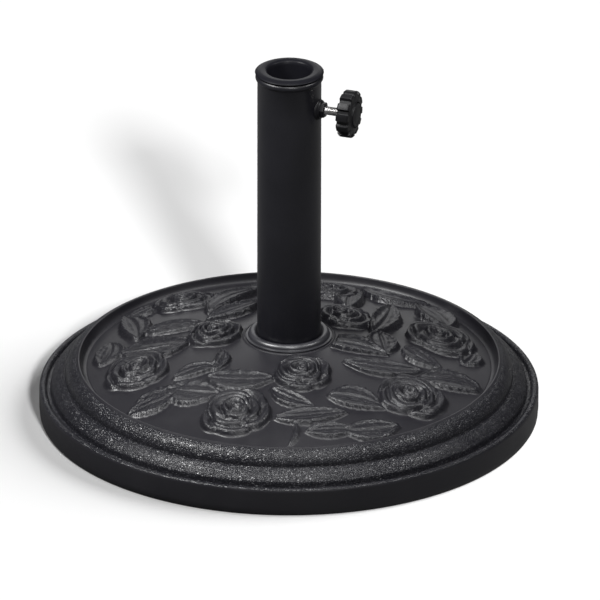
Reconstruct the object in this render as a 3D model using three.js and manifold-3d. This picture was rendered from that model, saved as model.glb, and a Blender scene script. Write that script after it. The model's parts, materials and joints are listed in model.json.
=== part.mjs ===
// Parasol base: a round moulded base with a rose relief, a clamped stand tube and an adapter sleeve.
// Millimetres, +Z up, origin on the floor at the centre of the base. The clamp faces front right.
import * as THREE from "three";
import { mergeVertices } from "three/addons/utils/BufferGeometryUtils.js";
import Module from "manifold-3d";

const wasm = await Module();
wasm.setup();

// Overall sizes
const BASE_R = 227.5;
const TOTAL_H = 340;
const GAP = 0.3; // running clearance between pieces that touch
const ROUND = 48; // facets round the base
const FINE = 32; // facets round the tube pieces

// Base shell
const WALL = 3.2;
const SKIRT_Z = 1.5;
const BAND_Z = 28.4; // foot of the rim bands
const RIDGE_R = 192.4;
const RIDGE_Z = 52.9;
const PANEL_R = 184;
const PANEL_Z = 44.6;
const DOME_Z = 75.6;
const HUB_R = 41;
const BOSS_R = 207; // circle of the cover screws and the feet
const BOSS_COUNT = 6;

// Underside tray and the anchor stack on the axis
const FLANGE_Z = 4;
const TRAY_T = 3;
const TRAY_Z = 27;
const TRAY_R = 170;
const TRAY_HOLE_R = 34;
const RIB_COUNT = 12;
const FLOOR_Z = 35.3; // underside of the fill beneath the tube
const FLOOR_T = 12.4;

// Stand tube
const TUBE_R = 29;
const TUBE_WALL = 2.3;
const TUBE_FOOT = 48;
const BEAD_R = 30.8;
const BEAD_Z = 333;
const TUBE_TOP = 337;

// Foot collar and adapter sleeve
const COLLAR_R = 39.3;
const COLLAR_Z = 76;
const SLEEVE_R = 31.2;
const SLEEVE_SKIRT = 21;
const POLE_R = 19.4;

// Clamp: an M8 screw, level, pointing at the tube's axis
const CLAMP_Z = 305;
const CLAMP_TURN = -20; // degrees from +X
const SCREW_R = 4;
const NUT_AF = 13;
const NUT_OUT = 34.9;
const KNOB_IN = 49.5;
const KNOB_OUT = 64.5;
const KNOB_R = 21.7;
const KNOB_LOBES = 12;
const TIP_IN = 25.5;
const SCREW_OUT = 58;
const CAP_SEAT = 62.7;

const COLOURS = {
  shell: [0x1b1c20, 0.5, 0],
  fill: [0x9a968e, 0.95, 0],
  cover: [0x17181a, 0.6, 0],
  rubber: [0x141414, 0.9, 0],
  steel: [0xb4b8bb, 0.35, 0.9],
  tube: [0x121317, 0.35, 0.3],
  trim: [0x101114, 0.3, 0],
};

// --- helpers -----------------------------------------------------------------

function solid(geometry, matrix = new THREE.Matrix4()) {
  const plain = geometry.clone();
  for (const name of Object.keys(plain.attributes)) {
    if (name !== "position") plain.deleteAttribute(name);
  }
  const merged = mergeVertices(plain.applyMatrix4(matrix), 1e-4);
  return new wasm.Manifold(
    new wasm.Mesh({
      numProp: 3,
      vertProperties: new Float32Array(merged.attributes.position.array),
      triVerts: new Uint32Array(merged.index.array),
    }),
  );
}

function toGeometry(made) {
  const mesh = made.getMesh();
  const position = new THREE.BufferAttribute(new Float32Array(mesh.vertProperties), 3);
  const geometry = new THREE.BufferGeometry().setAttribute("position", position);
  geometry.setIndex(new THREE.BufferAttribute(new Uint32Array(mesh.triVerts), 1));
  geometry.computeVertexNormals();
  return geometry;
}

// Turns a (radius, height) outline about +Z. The outline runs anticlockwise seen with radius to the right.
function turned(points, facets = FINE) {
  const outline = points.map(([r, z]) => new THREE.Vector2(r, z));
  if (points[0][0] > 0) outline.push(outline[0].clone());
  return solid(new THREE.LatheGeometry(outline, facets).rotateX(Math.PI / 2));
}

function ring(inner, outer, low, high, facets = FINE) {
  return turned([[inner, low], [outer, low], [outer, high], [inner, high]], facets);
}

function disc(radius, low, high, facets = FINE) {
  return turned([[0, low], [radius, low], [radius, high], [0, high]], facets);
}

function block(x0, x1, y0, y1, z0, z1) {
  const geometry = new THREE.BoxGeometry(x1 - x0, y1 - y0, z1 - z0);
  return solid(geometry.translate((x0 + x1) / 2, (y0 + y1) / 2, (z0 + z1) / 2));
}

// Raises a flat outline from low to high.
function raised(outline, low, high) {
  const shape = new THREE.Shape(outline.map(([x, y]) => new THREE.Vector2(x, y)));
  const geometry = new THREE.ExtrudeGeometry(shape, { depth: high - low, bevelEnabled: false });
  return solid(geometry.translate(0, 0, low));
}

function hexagon(acrossFlats) {
  const corner = acrossFlats / Math.sqrt(3);
  return Array.from({ length: 6 }, (_, i) => {
    const a = (i * Math.PI) / 3;
    return [corner * Math.cos(a), corner * Math.sin(a)];
  });
}

function arc(cx, cz, r, from, to, steps) {
  return Array.from({ length: steps + 1 }, (_, i) => {
    const a = THREE.MathUtils.degToRad(from + ((to - from) * i) / steps);
    return [cx + r * Math.cos(a), cz + r * Math.sin(a)];
  });
}

function round(count, phase = 0) {
  return Array.from({ length: count }, (_, i) => phase + (i * 360) / count);
}

function place(made, x, y, z, turn = 0) {
  const matrix = new THREE.Matrix4().makeRotationZ(THREE.MathUtils.degToRad(turn));
  return solid(toGeometry(made), matrix.setPosition(x, y, z));
}

function onCircle(made, radius, degrees) {
  const a = THREE.MathUtils.degToRad(degrees);
  return place(made, radius * Math.cos(a), radius * Math.sin(a), 0, degrees);
}

const parasolBase = new THREE.Group();

function add(name, made, finish, group = parasolBase) {
  const [color, roughness, metalness] = COLOURS[finish];
  const material = new THREE.MeshStandardMaterial({ color, roughness, metalness });
  const mesh = new THREE.Mesh(toGeometry(made), material);
  mesh.name = name;
  group.add(mesh);
}

// --- base shell --------------------------------------------------------------

// Height of the panel's crown at a radius.
function panelHeight(r) {
  const t = (r - HUB_R) / (PANEL_R - HUB_R);
  return DOME_Z - (DOME_Z - PANEL_Z) * (0.55 * t + 0.45 * t * t);
}

function panelLine(from, to, steps, drop) {
  return Array.from({ length: steps + 1 }, (_, i) => {
    const r = from + ((to - from) * i) / steps;
    return [r, panelHeight(r) - drop];
  });
}

function shellOutside() {
  return [
    [BASE_R - 1, SKIRT_Z],
    [BASE_R, 8],
    ...arc(BASE_R - 3.2, 24.1, 3.2, 20, 160, 3),
    [220.2, 23.4],
    [217, 23.6],
    [216.6, BAND_Z],
    [211.6, 34.8],
    [206.6, 38],
    [204.2, 37.8],
    [203.4, 42.2],
    [201.4, 46.2],
    [196.6, 50.6],
    [RIDGE_R, RIDGE_Z],
    [190.6, 50.4],
    [188.6, 46.2],
    [186.4, 44.8],
    ...panelLine(PANEL_R, HUB_R + 2, 4, 0),
    [HUB_R, DOME_Z + 0.2],
  ];
}

function shellInside() {
  return [
    ...panelLine(HUB_R, PANEL_R - 2, 2, WALL),
    [192, 41.4],
    [198, 41],
    [211, 30.2],
    [214.4, 22.4],
    [BASE_R - WALL - 1, 20],
    [BASE_R - WALL - 0.8, SKIRT_Z],
  ];
}

// Blooms of the relief: place and radius
const ROSES = [
  [-97, 115, 28],
  [-68, 8, 26],
  [-139, -40, 29],
  [-48, -131, 31],
  [12, -75, 27],
  [111, -94, 30],
  [138, 31, 32],
  [49, 45, 26],
  [36, 130, 28],
];
const ROSE_H = 10;

// Leaves of the relief: place of the middle, length, width, heading in degrees, sideways bend, height
const LEAVES = [
  [-43, -80, 67, 32, -8, 0.12, 4.5],
  [-87, -92, 54, 37, -22, 0.08, 4.2],
  [-123, -101, 52, 23, 23, 0.06, 4.6],
  [-117, -86, 45, 16, 11, -0.06, 3.6],
  [-63, -43, 42, 17, 82, 0.14, 4.6],
  [-83, -58, 48, 21, 13, -0.1, 3.8],
  [21, -136, 71, 22, 11, 0.05, 5],
  [39, -155, 50, 20, 9, 0.03, 4.4],
  [4, -160, 42, 8, 82, 0.14, 3.2],
  [77, -149, 54, 28, 19, 0.08, 4.6],
  [62, -109, 56, 32, -12, -0.1, 4],
  [3, -112, 52, 21, -32, 0.1, 4.2],
  [149, -55, 65, 32, 3, -0.1, 5],
  [87, -50, 78, 26, 4, 0.1, 4.6],
  [61, -19, 63, 30, -10, -0.1, 4.4],
  [85, -1, 44, 31, 98, 0, 4.6],
  [121, -21, 48, 26, -38, 0.1, 4.2],
  [87, 55, 89, 28, 79, 0.06, 7.5],
  [58, 104, 69, 28, 79, -0.08, 7.5],
  [97, 134, 80, 28, -26, 0.3, 6.5],
  [133, 90, 57, 39, 120, 0.05, 7],
  [-143, 65, 77, 30, 100, 0.06, 6.5],
  [-165, 13, 49, 30, 80, 0.1, 4.2],
  [-120, -1, 67, 44, -1, 0.1, 4.6],
  [-104, 40, 63, 30, -6, -0.08, 3.6],
  [-48, 64, 69, 24, 40, 0.1, 7.5],
  [-52, 101, 85, 28, 53, -0.1, 8],
  [-132, 108, 41, 21, 47, 0.1, 4],
  [4, 91, 61, 28, 101, 0.1, 6],
  [-14, 140, 59, 30, 12, 0.1, 6],
  [165, 5, 39, 23, 74, 0.1, 4],
];
const SINK = 2; // how deep the relief is rooted in the shell's wall

// Stands a raised form on the panel, square to its slope.
function onPanel(made, x, y, heading) {
  const r = Math.hypot(x, y);
  const slope = Math.atan((panelHeight(r - 1) - panelHeight(r + 1)) / 2);
  const away = new THREE.Vector3(-y / r, x / r, 0);
  const matrix = new THREE.Matrix4().makeRotationAxis(away, slope);
  matrix.multiply(new THREE.Matrix4().makeRotationZ(THREE.MathUtils.degToRad(heading)));
  return solid(toGeometry(made), matrix.setPosition(x, y, panelHeight(r)));
}

function rose(radius) {
  const outline = [
    [0, -SINK],
    [radius * 0.96, -SINK],
    [radius, 4],
    [radius * 0.86, 5.6],
    [radius * 0.66, 4.8],
    [radius * 0.56, 8.4],
    [radius * 0.36, 6.4],
    [radius * 0.26, ROSE_H],
    [0, ROSE_H - 1.4],
  ];
  return turned(outline, 12);
}

function leaf(length, width, bend, height) {
  const steps = 6;
  const along = (k) => length * (k / steps - 0.5);
  const spine = (k) => bend * length * (4 * (k / steps - 0.5) ** 2 - 0.5);
  const half = (k) => (width / 2) * Math.sin((Math.PI * k) / steps) ** 0.8;
  const near = Array.from({ length: steps }, (_, k) => [along(k), spine(k) - half(k)]);
  const far = Array.from({ length: steps }, (_, k) => [along(steps - k), spine(k) + half(steps - k)]);
  const outline = new THREE.Shape([...near, ...far].map(([x, y]) => new THREE.Vector2(x, y)));
  const blade = new THREE.ExtrudeGeometry(outline, { depth: height + SINK, bevelEnabled: false });
  return solid(blade.translate(0, 0, -SINK));
}

function relief() {
  const blooms = ROSES.map(([x, y, r]) => onPanel(rose(r), x, y, 0));
  const blades = LEAVES.map(([x, y, length, width, heading, bend, height]) =>
    onPanel(leaf(length, width, bend, height), x, y, heading),
  );
  const forms = [...blooms, ...blades].reduce((all, one) => all.add(one));
  // The foot collar's seat stays clear of the leaves
  return forms.subtract(disc(HUB_R + 1, 0, TOTAL_H));
}

function shellBosses() {
  const boss = ring(1.9, 5, FLANGE_Z + TRAY_T + GAP, 33, 12);
  return round(BOSS_COUNT).map((a) => onCircle(boss, BOSS_R, a));
}

function baseShell() {
  const skin = turned([...shellOutside(), ...shellInside()], ROUND);
  // The lip that the tube passes through
  const hub = ring(TUBE_R + GAP, HUB_R + 2, DOME_Z - WALL, DOME_Z + 0.2, ROUND);
  return shellBosses().reduce((all, boss) => all.add(boss), skin.add(hub).add(relief()));
}

// --- weight and underside ----------------------------------------------------

function concreteCore() {
  const low = FLANGE_Z + TRAY_T + GAP;
  const outline = [
    [TRAY_HOLE_R + 7, FLOOR_Z],
    [TRAY_HOLE_R + 9, TRAY_Z + TRAY_T + GAP],
    [TRAY_R, TRAY_Z + TRAY_T + GAP],
    [TRAY_R + 16, low],
    [BASE_R - WALL - 1.6, low],
    [BASE_R - WALL - 1.6, 19],
    [214, 21.4],
    [210.2, 29.4],
    [197.4, 40.2],
    [192, 40.6],
    ...panelLine(HUB_R, PANEL_R - 4, 2, WALL + 0.8).reverse(),
    [0, DOME_Z - WALL - 0.8],
    [0, FLOOR_Z],
  ];
  const socket = disc(TUBE_R + GAP, FLOOR_Z + FLOOR_T, TOTAL_H);
  const boltHole = disc(5.5, 0, TOTAL_H, 16);
  const bossHole = disc(5.4, 0, 33.4, 12);
  const cast = turned(outline, ROUND).subtract(socket).subtract(boltHole);
  return round(BOSS_COUNT).reduce((all, a) => all.subtract(onCircle(bossHole, BOSS_R, a)), cast);
}

function bottomCover() {
  const outline = [
    [TRAY_HOLE_R, TRAY_Z],
    [TRAY_R - 3, TRAY_Z],
    [TRAY_R + 13, FLANGE_Z],
    [BASE_R - WALL - 1.6, FLANGE_Z],
    [BASE_R - WALL - 1.6, FLANGE_Z + TRAY_T],
    [TRAY_R + 15.4, FLANGE_Z + TRAY_T],
    [TRAY_R - 1, TRAY_Z + TRAY_T],
    [TRAY_HOLE_R, TRAY_Z + TRAY_T],
  ];
  const tray = turned(outline, ROUND);
  const rib = block(TRAY_HOLE_R + 1, TRAY_R - 2, -1.5, 1.5, TRAY_Z - 7, TRAY_Z + 0.5);
  const ribs = round(RIB_COUNT, 15).map((a) => onCircle(rib, 0, a));
  const screwHole = disc(2.2, 0, 20, 12).add(disc(4.6, 0, FLANGE_Z + 1.4, 16));
  const holes = round(BOSS_COUNT).map((a) => onCircle(screwHole, BOSS_R, a));
  const ribbed = ribs.reduce((all, one) => all.add(one), tray);
  return holes.reduce((all, one) => all.subtract(one), ribbed);
}

function coverScrew() {
  const head = turned([[0, 2.4], [3.4, 2.4], [4.2, 3.4], [4.2, FLANGE_Z + 1.1], [0, FLANGE_Z + 1.1]], 16);
  const shank = turned([[0, 4.5], [1.6, 4.5], [1.6, 20], [0, 22.4]], 12);
  const slot = block(-3, 3, -0.5, 0.5, 0, 3.3);
  const cross = block(-0.5, 0.5, -3, 3, 0, 3.3);
  return head.add(shank).subtract(slot.add(cross));
}

function foot() {
  const top = FLANGE_Z - GAP;
  return turned([[0, 0.8], [6, 0.8], [7, 0], [10, 0], [11, 1], [11.6, top], [0, top]], 16);
}

function centreBolt() {
  const head = raised(hexagon(17), 19.5, 25.9);
  const shank = disc(4.9, 25, TUBE_FOOT + 7.5, 20);
  return head.add(shank);
}

function springWasher() {
  const washer = ring(5.3, 8.8, 26.2, 28.4, 24);
  return washer.subtract(block(5, 9.5, -0.7, 0.7, 25, 30));
}

add("base_shell", baseShell(), "shell");
add("concrete_core", concreteCore(), "fill");
add("bottom_cover", bottomCover(), "cover");
for (const [i, a] of round(BOSS_COUNT, 30).entries()) {
  add(`foot_${i + 1}`, onCircle(foot(), BOSS_R - 4, a), "rubber");
}
for (const [i, a] of round(BOSS_COUNT).entries()) {
  add(`cover_screw_${i + 1}`, onCircle(coverScrew(), BOSS_R, a), "steel");
}
add("anchor_plate", ring(5.5, 38, 31, 35, 32), "steel");
add("bolt_washer", ring(5.3, 14, 28.7, 30.7, 28), "steel");
add("spring_washer", springWasher(), "steel");
add("centre_bolt", centreBolt(), "steel");

// --- stand tube --------------------------------------------------------------

// The clamp pieces are turned about +Z, then laid along the clamp's axis.
const outward = new THREE.Matrix4().makeRotationY(Math.PI / 2);
outward.premultiply(new THREE.Matrix4().makeRotationZ(THREE.MathUtils.degToRad(CLAMP_TURN)));
outward.setPosition(0, 0, CLAMP_Z);

function alongClamp(made) {
  return solid(toGeometry(made), outward);
}

function standTube() {
  const inner = TUBE_R - TUBE_WALL;
  const outline = [
    [inner, TUBE_FOOT],
    [TUBE_R, TUBE_FOOT],
    [TUBE_R, BEAD_Z - 3.2],
    ...arc(BEAD_R - 3.4, BEAD_Z, 3.4, -50, 50, 5),
    [TUBE_R - 0.8, TUBE_TOP],
    [inner, TUBE_TOP],
  ];
  const screwHole = alongClamp(disc(SCREW_R + GAP, 10, 50, 20));
  return turned(outline).subtract(screwHole);
}

function weldNut() {
  const flange = disc(9, TUBE_R - 3, TUBE_R + 2.2, 28);
  const body = raised(hexagon(NUT_AF), TUBE_R, NUT_OUT);
  const bore = disc(SCREW_R + GAP, 0, 60, 20);
  const nut = alongClamp(flange.add(body).subtract(bore));
  return nut.subtract(disc(TUBE_R + GAP, 0, TOTAL_H));
}

add("stand_tube", standTube(), "tube");
add("tube_end_plate", ring(5.3, TUBE_R - TUBE_WALL - GAP, TUBE_FOOT, TUBE_FOOT + 6), "steel");
add("weld_nut", weldNut(), "tube");

// --- foot collar and adapter sleeve ------------------------------------------

function footCollar() {
  const low = COLLAR_Z + GAP;
  const outline = [
    [TUBE_R + GAP, low],
    [COLLAR_R, low],
    [COLLAR_R, low + 1],
    [38, low + 1.6],
    ...arc(33.4, low + 1.4, 4.4, 15, 150, 6),
    [TUBE_R + GAP, low + 3.2],
  ];
  return turned(outline);
}

function adapterSleeve() {
  const skirtR = TUBE_R - TUBE_WALL - 0.4;
  const low = TUBE_TOP - SLEEVE_SKIRT;
  const seat = TUBE_TOP + GAP;
  const outline = [
    [POLE_R, low],
    [POLE_R + 2.2, low],
    [POLE_R + 2.2, seat - 2],
    [skirtR - 2.2, seat - 2],
    [skirtR - 2.2, low],
    [skirtR, low],
    [skirtR, seat],
    [SLEEVE_R, seat],
    [SLEEVE_R, TOTAL_H - 2.2],
    [29.2, TOTAL_H - 0.9],
    [26, TOTAL_H],
    [22.8, TOTAL_H],
    [POLE_R + 0.6, TOTAL_H - 1.4],
    [POLE_R, TOTAL_H - 3.2],
  ];
  const web = block(POLE_R + 1.4, skirtR - 1.4, -0.8, 0.8, low, seat);
  const webs = round(8).map((a) => onCircle(web, 0, a));
  return webs.reduce((all, one) => all.add(one), turned(outline));
}

add("foot_collar", footCollar(), "trim");
add("adapter_sleeve", adapterSleeve(), "trim");

// --- clamp -------------------------------------------------------------------

function clampScrew() {
  const end = TIP_IN + 2.5;
  const nose = [[0, end], [3.2, end], [SCREW_R, end + 1.1]];
  const shank = turned([...nose, [SCREW_R, SCREW_OUT], [0, SCREW_OUT]], 20);
  const head = raised(hexagon(NUT_AF), SCREW_OUT - 0.8, CAP_SEAT - 0.3);
  const tipHole = disc(1.7, 0, TIP_IN + 7, 12);
  return shank.add(head).subtract(tipHole);
}

function screwTip() {
  const back = TIP_IN + 2.2;
  const face = turned([[0, TIP_IN], [2.6, TIP_IN], [3.3, TIP_IN + 0.6], [3.3, back], [0, back]], 16);
  return face.add(disc(1.4, TIP_IN + 1, TIP_IN + 6.6, 12));
}

// A star grip: shallow hollows between broad square lobes
function knobOutline() {
  const points = [];
  for (const a of round(KNOB_LOBES)) {
    const lobe = [[-9.5, 1], [-7, 1], [7, 1], [9.5, 1], [11.5, 0.93], [18.5, 0.93]];
    for (const [offset, share] of lobe) {
      const t = THREE.MathUtils.degToRad(a + offset);
      points.push([KNOB_R * share * Math.cos(t), KNOB_R * share * Math.sin(t)]);
    }
  }
  return points;
}

function clampKnob() {
  const rim = raised(knobOutline(), KNOB_IN + 1.5, KNOB_OUT - 1.5);
  const drum = disc(KNOB_R * 0.9, KNOB_IN, KNOB_OUT, 36);
  const bore = disc(SCREW_R + GAP, 0, KNOB_OUT, 20);
  const hexPocket = raised(hexagon(NUT_AF + 0.7), SCREW_OUT - 1.1, KNOB_OUT + 1);
  const capSeat = disc(11.4, CAP_SEAT, KNOB_OUT + 1, 32);
  return rim.add(drum).subtract(bore).subtract(hexPocket).subtract(capSeat);
}

function knobCap() {
  const low = CAP_SEAT + GAP;
  return turned([[0, low], [11, low], [11, 64.6], [10.2, 65.3], [0, 65.8]], 32);
}

add("screw_tip", alongClamp(screwTip()), "trim");
add("clamp_screw", alongClamp(clampScrew()), "steel");
add("clamp_knob", alongClamp(clampKnob()), "trim");
add("knob_cap", alongClamp(knobCap()), "trim");

export default parasolBase;
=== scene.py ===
"""Parasol base with a rose relief: the looks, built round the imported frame. Metres, +Z up."""

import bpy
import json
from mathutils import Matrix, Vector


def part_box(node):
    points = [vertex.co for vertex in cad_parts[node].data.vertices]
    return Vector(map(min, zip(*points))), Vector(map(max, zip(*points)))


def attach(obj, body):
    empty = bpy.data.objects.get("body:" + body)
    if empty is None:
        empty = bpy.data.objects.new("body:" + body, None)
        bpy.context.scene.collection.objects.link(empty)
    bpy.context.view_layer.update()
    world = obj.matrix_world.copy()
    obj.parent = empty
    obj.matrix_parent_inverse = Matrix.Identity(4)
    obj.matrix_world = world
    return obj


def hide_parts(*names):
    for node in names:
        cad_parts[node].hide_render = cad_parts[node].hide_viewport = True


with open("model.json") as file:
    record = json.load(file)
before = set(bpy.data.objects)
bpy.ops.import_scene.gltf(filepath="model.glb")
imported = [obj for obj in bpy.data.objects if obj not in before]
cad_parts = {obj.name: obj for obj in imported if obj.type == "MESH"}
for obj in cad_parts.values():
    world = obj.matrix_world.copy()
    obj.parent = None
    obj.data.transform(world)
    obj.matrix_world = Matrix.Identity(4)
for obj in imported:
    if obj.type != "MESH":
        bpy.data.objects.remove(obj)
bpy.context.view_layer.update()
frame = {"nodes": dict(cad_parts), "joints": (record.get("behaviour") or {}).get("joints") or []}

import json
import math

import bmesh
import bpy
import numpy as np
from mathutils import Matrix, Vector

MM = 0.001

# Sizes taken from the frame, in millimetres
SHELL_LOW, SHELL_HIGH = (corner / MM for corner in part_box("base_shell"))
BASE_R = SHELL_HIGH.x
SKIRT_Z = SHELL_LOW.z
TUBE_FOOT, TUBE_TOP = (corner.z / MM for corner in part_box("stand_tube"))
TUBE_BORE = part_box("tube_end_plate")[1].x / MM + 0.3
COLLAR_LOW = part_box("foot_collar")[0].z / MM
COLLAR_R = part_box("foot_collar")[1].x / MM
SLEEVE_LOW, SLEEVE_HIGH = (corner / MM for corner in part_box("adapter_sleeve"))
FOOT_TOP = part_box("foot_1")[1].z / MM
CLAMP_JOINT = next(j for j in frame["joints"] if j["name"] == "knob_turn")
CLAMP_OUT = -Vector(CLAMP_JOINT["axis"]).normalized()
CLAMP_Z = CLAMP_JOINT["pos_m"][2] / MM

# The shell's form, the same as its solid, in millimetres
PANEL_R = 184.0
PANEL_Z = 44.6
DOME_Z = 75.6
HUB_R = 41.0
RIDGE_R = 192.4
RIM_ROUND = 3.2
WALL = 3.2
BOSS_R = 207.0

# The tube, the collar round its foot and the bore for the pole, in millimetres
TUBE_R = 29.0
TUBE_GAP = 0.3
BEAD_R = 30.8
BEAD_ROUND = 3.2
BEAD_DROP = 4
COLLAR_ROUND = 3.9
COLLAR_ROUND_R = 33.2
POLE_R = 19.4

# The clamp, measured outwards from the tube's axis, in millimetres
SCREW_R = 4.0
SCREW_HOLE = 4.4
DRILL_FROM, DRILL_TO = 12, 44
SHANK_FROM, SHANK_TO = 28.0, 57.5
THREAD_PITCH = 1.25
THREAD_DEPTH = 0.17    # as a share of the shank's radius
THREAD_TO = 49.0
HEX_ACROSS = 13
HEX_FROM, HEX_TO = 57.2, 62.4
NUT_FACE = 34.9
FLANGE_R = 9
KNOB_BACK, KNOB_FACE = 49.5, 64.5
KNOB_R = 21.7
KNOB_CORE = 15.8
KNOB_LOBES = 12
GRIP_FULL_R = 18.0
GRIP_DEPTH = 0.14      # as a share of the distance from the knob's axis

PANEL_HOLE = TUBE_R + TUBE_GAP
PANEL_EDGE = 185.6
PANEL_MESH = (700, 124)

# Petals of a bloom, outermost whorl first: how many, then their distance out and their radius as
# shares of the bloom's radius, then height and dip in millimetres
WHORLS = [
    (5, 0.36, 0.68, 4.4, 1.5),
    (3, 0.2, 0.56, 6.4, 2.4),
    (2, 0.12, 0.38, 8.4, 3.6),
    (1, 0.03, 0.2, 8.6, 2.4),
]

# Blooms: x, y, radius, heading in degrees
ROSES = [
    (-97, 115, 29, 20),
    (-68, 8, 26, 75),
    (-139, -40, 30, 130),
    (-48, -131, 32, 200),
    (12, -75, 27, 260),
    (111, -94, 31, 300),
    (138, 31, 33, 350),
    (49, 45, 27, 40),
    (36, 130, 28, 100),
]

LEAF_TEETH = 8
LEAF_VEINS = 5

# Leaves: x, y, length, width, heading in degrees, sideways bend, height
LEAVES = [
    (-43, -80, 67, 32, -8, 0.12, 4.5),
    (-87, -92, 54, 37, -22, 0.08, 4.2),
    (-123, -101, 52, 23, 23, 0.06, 4.6),
    (-117, -86, 45, 16, 11, -0.06, 3.6),
    (-63, -43, 42, 17, 82, 0.14, 4.6),
    (-83, -58, 48, 21, 13, -0.1, 3.8),
    (21, -136, 71, 22, 11, 0.05, 5),
    (39, -155, 50, 20, 9, 0.03, 4.4),
    (4, -160, 42, 8, 82, 0.14, 3.2),
    (77, -149, 54, 28, 19, 0.08, 4.6),
    (62, -109, 56, 32, -12, -0.1, 4),
    (3, -112, 52, 21, -32, 0.1, 4.2),
    (149, -55, 65, 32, 3, -0.1, 5),
    (87, -50, 78, 26, 4, 0.1, 4.6),
    (61, -19, 63, 30, -10, -0.1, 4.4),
    (85, -1, 44, 31, 98, 0, 4.6),
    (121, -21, 48, 26, -38, 0.1, 4.2),
    (87, 55, 89, 28, 79, 0.06, 7.5),
    (58, 104, 69, 28, 79, -0.08, 7.5),
    (97, 134, 80, 28, -26, 0.3, 6.5),
    (133, 90, 57, 39, 120, 0.05, 7),
    (-143, 65, 77, 30, 100, 0.06, 6.5),
    (-165, 13, 49, 30, 80, 0.1, 4.2),
    (-120, -1, 67, 44, -1, 0.1, 4.6),
    (-104, 40, 63, 30, -6, -0.08, 3.6),
    (-48, 64, 69, 24, 40, 0.1, 7.5),
    (-52, 101, 85, 28, 53, -0.1, 8),
    (-132, 108, 41, 21, 47, 0.1, 4),
    (4, 91, 61, 28, 101, 0.1, 6),
    (-14, 140, 59, 30, 12, 0.1, 6),
    (165, 5, 39, 23, 74, 0.1, 4),
]


# --- node helpers ------------------------------------------------------------

def add_node(tree, kind, **settings):
    made = tree.nodes.new(kind)
    for key, value in settings.items():
        setattr(made, key, value)
    return made


def feed(tree, socket, value):
    """Links a socket to value when value is a socket, and sets it otherwise."""
    if isinstance(value, bpy.types.NodeSocket):
        tree.links.new(value, socket)
    else:
        socket.default_value = value


def math_node(tree, operation, *values):
    made = add_node(tree, "ShaderNodeMath", operation=operation)
    for socket, value in zip(made.inputs, values):
        feed(tree, socket, value)
    return made.outputs[0]


def ramp_between(tree, value, low, high, out_low=0.0, out_high=1.0):
    made = add_node(tree, "ShaderNodeMapRange", interpolation_type="SMOOTHSTEP")
    for name, given in zip(("Value", "From Min", "From Max", "To Min", "To Max"),
                           (value, low, high, out_low, out_high)):
        feed(tree, made.inputs[name], given)
    return made.outputs["Result"]


def mix(tree, kind, factor, first, second):
    made = add_node(tree, "ShaderNodeMix", data_type=kind)
    feed(tree, made.inputs["Factor"], factor)
    feed(tree, made.inputs["A"], first)
    feed(tree, made.inputs["B"], second)
    return made.outputs["Result"]


def mix_colours(tree, factor, first, second):
    return mix(tree, "RGBA", factor, first, second)


def noise(tree, place, scale, detail=2.0):
    made = add_node(tree, "ShaderNodeTexNoise")
    feed(tree, made.inputs["Vector"], place)
    feed(tree, made.inputs["Scale"], scale)
    made.inputs["Detail"].default_value = detail
    return made.outputs["Fac"]


def cells_of(tree, place, density, feature):
    made = add_node(tree, "ShaderNodeTexVoronoi", feature=feature)
    feed(tree, made.inputs["Vector"], place)
    feed(tree, made.inputs["Scale"], density)
    return made


def new_group(name, kind, inputs, outputs):
    tree = bpy.data.node_groups.new(name, kind)
    for label, socket_type, default in inputs:
        socket = tree.interface.new_socket(label, in_out="INPUT", socket_type=socket_type)
        if default is not None:
            socket.default_value = default
    for label, socket_type in outputs:
        tree.interface.new_socket(label, in_out="OUTPUT", socket_type=socket_type)
    return tree, tree.nodes.new("NodeGroupInput"), tree.nodes.new("NodeGroupOutput")


# --- shared finishes ---------------------------------------------------------

def leather_grain_group():
    """Pebbled moulding grain: rounded cells with fine creases between them, and a colour mask with painted
    glints on some cells and painted shade in the creases.
    """
    inputs = [("Cell Size", "NodeSocketFloat", 0.0016), ("Unevenness", "NodeSocketFloat", 0.4)]
    outputs = [(label, "NodeSocketFloat") for label in ("Height", "Patches", "Painted Glints And Crease Shade")]
    tree, source, sink = new_group("leather_grain", "ShaderNodeTree", inputs, outputs)
    place = add_node(tree, "ShaderNodeTexCoord").outputs["Object"]
    density = math_node(tree, "DIVIDE", 1.0, source.outputs["Cell Size"])
    edges = cells_of(tree, place, density, "DISTANCE_TO_EDGE")
    crease = ramp_between(tree, edges.outputs["Distance"], 0.0, 0.35)
    pebbles = cells_of(tree, place, density, "F1")
    each = add_node(tree, "ShaderNodeSeparateColor")
    tree.links.new(pebbles.outputs["Color"], each.inputs[0])
    # Painted glints and shade: a few random cells brighter, darker towards each crease
    painted_glints_and_crease_shade = math_node(tree, "MULTIPLY", math_node(tree, "POWER", each.outputs[0], 2.0), crease)
    tree.links.new(painted_glints_and_crease_shade, sink.inputs["Painted Glints And Crease Shade"])
    fine = noise(tree, place, math_node(tree, "MULTIPLY", density, 0.55), 3.0)
    uneven = math_node(tree, "MULTIPLY", fine, source.outputs["Unevenness"])
    broad = noise(tree, place, 60.0)
    tree.links.new(math_node(tree, "ADD", crease, uneven), sink.inputs["Height"])
    tree.links.new(ramp_between(tree, broad, 0.35, 0.65), sink.inputs["Patches"])
    return tree


def moulded_skin_group():
    """The faint unevenness of moulded plastic or of sprayed paint."""
    inputs = [("Grain Size", "NodeSocketFloat", 0.0008)]
    outputs = [("Height", "NodeSocketFloat"), ("Smudges", "NodeSocketFloat")]
    tree, source, sink = new_group("moulded_skin", "ShaderNodeTree", inputs, outputs)
    place = add_node(tree, "ShaderNodeTexCoord").outputs["Object"]
    grain = noise(tree, place, math_node(tree, "DIVIDE", 1.0, source.outputs["Grain Size"]))
    smudge = noise(tree, place, 18.0, 4.0)
    tree.links.new(grain, sink.inputs["Height"])
    tree.links.new(ramp_between(tree, smudge, 0.35, 0.7), sink.inputs["Smudges"])
    return tree


GRAIN = leather_grain_group()
SKIN = moulded_skin_group()


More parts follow.
